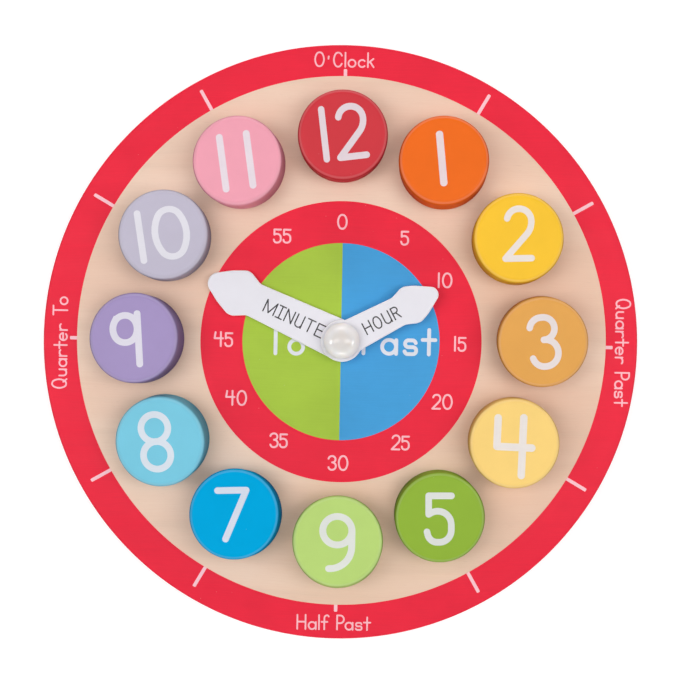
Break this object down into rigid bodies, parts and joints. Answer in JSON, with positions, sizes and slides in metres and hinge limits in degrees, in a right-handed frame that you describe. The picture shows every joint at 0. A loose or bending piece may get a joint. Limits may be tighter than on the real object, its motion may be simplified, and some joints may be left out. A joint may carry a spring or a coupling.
{
  "type": "teaching clock",
  "caption": "Round wooden teaching clock on its back: number blocks lift off pegs around a printed dial, and minute and hour hands turn freely on a centre pivot.",
  "frame": {"origin": "middle of the board's back face", "axes": "+Z out of the dial, +Y towards twelve, +X towards three"},
  "size_m": [0.29, 0.29, 0.0351],
  "materials": {
    "board_wood": "clear satin lacquer",
    "peg_wood": "bare",
    "white_paint": "white satin paint",
    "washer_nylon": "satin",
    "cap_nylon": "milky gloss",
    "zinc_steel": "zinc plated",
    "red_print": "printed ink",
    "green_print": "printed ink",
    "blue_print": "printed ink",
    "white_print": "printed ink",
    "grey_print": "printed ink",
    "orange_paint": "satin paint",
    "golden_yellow_paint": "satin paint",
    "tan_paint": "satin paint",
    "pale_yellow_paint": "satin paint",
    "leaf_green_paint": "satin paint",
    "pale_green_paint": "satin paint",
    "bright_blue_paint": "satin paint",
    "sky_blue_paint": "satin paint",
    "lilac_paint": "satin paint",
    "pale_lilac_paint": "satin paint",
    "pink_paint": "satin paint",
    "dark_red_paint": "satin paint"
  },
  "bodies": {
    "clock": {"clock_board": "board_wood", "block_peg_1": "peg_wood", "block_peg_2": "peg_wood", "block_peg_3": "peg_wood", "block_peg_4": "peg_wood", "block_peg_5": "peg_wood", "block_peg_6": "peg_wood", "block_peg_7": "peg_wood", "block_peg_8": "peg_wood", "block_peg_9": "peg_wood", "block_peg_10": "peg_wood", "block_peg_11": "peg_wood", "block_peg_12": "peg_wood", "lower_washer": "washer_nylon", "middle_washer": "washer_nylon", "upper_washer": "washer_nylon", "rear_washer": "zinc_steel", "pivot_screw": "zinc_steel", "lock_nut": "zinc_steel", "pivot_cap": "cap_nylon"},
    "minute": {"minute_hand": "white_paint"},
    "hour": {"hour_hand": "white_paint"},
    "block_1": {"number_block_1": "orange_paint"},
    "block_2": {"number_block_2": "golden_yellow_paint"},
    "block_3": {"number_block_3": "tan_paint"},
    "block_4": {"number_block_4": "pale_yellow_paint"},
    "block_5": {"number_block_5": "leaf_green_paint"},
    "block_6": {"number_block_6": "pale_green_paint"},
    "block_7": {"number_block_7": "bright_blue_paint"},
    "block_8": {"number_block_8": "sky_blue_paint"},
    "block_9": {"number_block_9": "lilac_paint"},
    "block_10": {"number_block_10": "pale_lilac_paint"},
    "block_11": {"number_block_11": "pink_paint"},
    "block_12": {"number_block_12": "dark_red_paint"}
  },
  "joints": [
    {"name": "minute_turn", "type": "hinge", "parent": "clock", "child": "minute", "pos_m": [0.0007, 0.0004, 0.0125], "axis": [0, 0, 1], "continuous": true},
    {"name": "hour_turn", "type": "hinge", "parent": "clock", "child": "hour", "pos_m": [0.0007, 0.0004, 0.0167], "axis": [0, 0, 1], "continuous": true},
    {"name": "block_1_lift", "type": "slide", "parent": "clock", "child": "block_1", "axis": [0, 0, 1], "range_m": [0, 0.04]},
    {"name": "block_2_lift", "type": "slide", "parent": "clock", "child": "block_2", "axis": [0, 0, 1], "range_m": [0, 0.04]},
    {"name": "block_3_lift", "type": "slide", "parent": "clock", "child": "block_3", "axis": [0, 0, 1], "range_m": [0, 0.04]},
    {"name": "block_4_lift", "type": "slide", "parent": "clock", "child": "block_4", "axis": [0, 0, 1], "range_m": [0, 0.04]},
    {"name": "block_5_lift", "type": "slide", "parent": "clock", "child": "block_5", "axis": [0, 0, 1], "range_m": [0, 0.04]},
    {"name": "block_6_lift", "type": "slide", "parent": "clock", "child": "block_6", "axis": [0, 0, 1], "range_m": [0, 0.04]},
    {"name": "block_7_lift", "type": "slide", "parent": "clock", "child": "block_7", "axis": [0, 0, 1], "range_m": [0, 0.04]},
    {"name": "block_8_lift", "type": "slide", "parent": "clock", "child": "block_8", "axis": [0, 0, 1], "range_m": [0, 0.04]},
    {"name": "block_9_lift", "type": "slide", "parent": "clock", "child": "block_9", "axis": [0, 0, 1], "range_m": [0, 0.04]},
    {"name": "block_10_lift", "type": "slide", "parent": "clock", "child": "block_10", "axis": [0, 0, 1], "range_m": [0, 0.04]},
    {"name": "block_11_lift", "type": "slide", "parent": "clock", "child": "block_11", "axis": [0, 0, 1], "range_m": [0, 0.04]},
    {"name": "block_12_lift", "type": "slide", "parent": "clock", "child": "block_12", "axis": [0, 0, 1], "range_m": [0, 0.04]}
  ]
}
